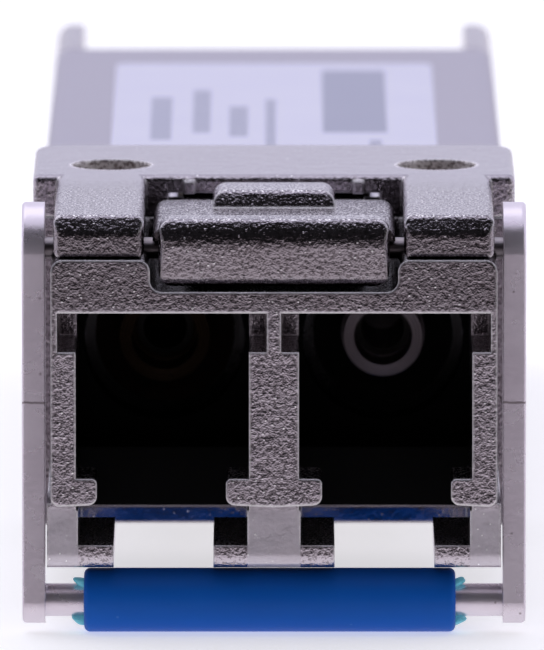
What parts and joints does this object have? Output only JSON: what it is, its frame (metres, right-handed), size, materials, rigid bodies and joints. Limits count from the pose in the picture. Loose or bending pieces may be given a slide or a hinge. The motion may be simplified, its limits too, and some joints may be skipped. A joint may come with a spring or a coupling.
{
  "type": "pluggable optical transceiver module",
  "caption": "Pluggable transceiver module with a duplex optical port, a card-edge connector and a bail that rocks a locking lever to release it.",
  "frame": {"origin": "mid-width, on the flat face opposite the latch, in the plane of the flange's rear face where the module stops against the cage", "axes": "+Y into the host cage, along the length; +Z from the flat face towards the latch side; +X to the right seen from the ports"},
  "size_m": [0.0146, 0.0565, 0.0121],
  "materials": {
    "die_cast_nickel": "nickel plate over a finely grained zinc casting",
    "cover_nickel": "satin nickel plated sheet",
    "label_stock": "matt pale label stock with no print",
    "screw_steel": "nickel plated steel",
    "pin_steel": "ground steel",
    "bail_nickel": "smooth plated steel",
    "spring_steel": "spring wire",
    "collar_sheet": "nickel plated spring sheet",
    "blue_grip": "blue moulded plastic",
    "black_insert": "black moulded plastic",
    "barrel_steel": "turned stainless steel",
    "barrel_brass": "turned brass-toned steel",
    "ceramic": "polished ceramic",
    "can_steel": "pale gold plated can",
    "bracket": "formed bracket",
    "flex_film": "amber film",
    "board": "green solder mask",
    "gold": "hard gold",
    "chip_black": "black epoxy package",
    "passive_tan": "ceramic chip components",
    "gap_pad": "soft grey gap pad"
  },
  "bodies": {
    "module": {"base_housing": "die_cast_nickel", "latch_housing": "die_cast_nickel", "top_cover": "cover_nickel", "label": "label_stock", "housing_screws": "screw_steel", "lever_pin": "pin_steel", "lever_spring": "spring_steel", "lc_receptacle": "black_insert", "tosa_barrel": "barrel_steel", "rosa_barrel": "barrel_brass", "tosa_sleeve": "ceramic", "rosa_sleeve": "ceramic", "tosa_body": "can_steel", "rosa_body": "can_steel", "osa_retainer": "bracket", "tosa_flex": "flex_film", "rosa_flex": "flex_film", "pcb": "board", "edge_contacts": "gold", "laser_driver_chip": "chip_black", "amplifier_chip": "chip_black", "controller_chip": "chip_black", "smd_passives": "passive_tan", "thermal_pad": "gap_pad", "emi_collar": "collar_sheet"},
    "bail": {"bail_frame": "bail_nickel", "bail_sleeve": "blue_grip", "cam_pin": "pin_steel"},
    "lever": {"latch_lever": "die_cast_nickel"}
  },
  "joints": [
    {"name": "bail_swing", "type": "hinge", "parent": "module", "child": "bail", "pos_m": [0, -0.0134, 0.00887], "axis": [-1, 0, 0], "range_deg": [0, 90]},
    {"name": "lever_rock", "type": "hinge", "parent": "module", "child": "lever", "pos_m": [0, -0.0052, 0.00887], "axis": [-1, 0, 0], "range_deg": [0, 3.6], "deforming": ["lever_spring"]}
  ],
  "couplings": [
    {"joint": "lever_rock", "follows": "bail_swing", "ratio": 0.04}
  ]
}
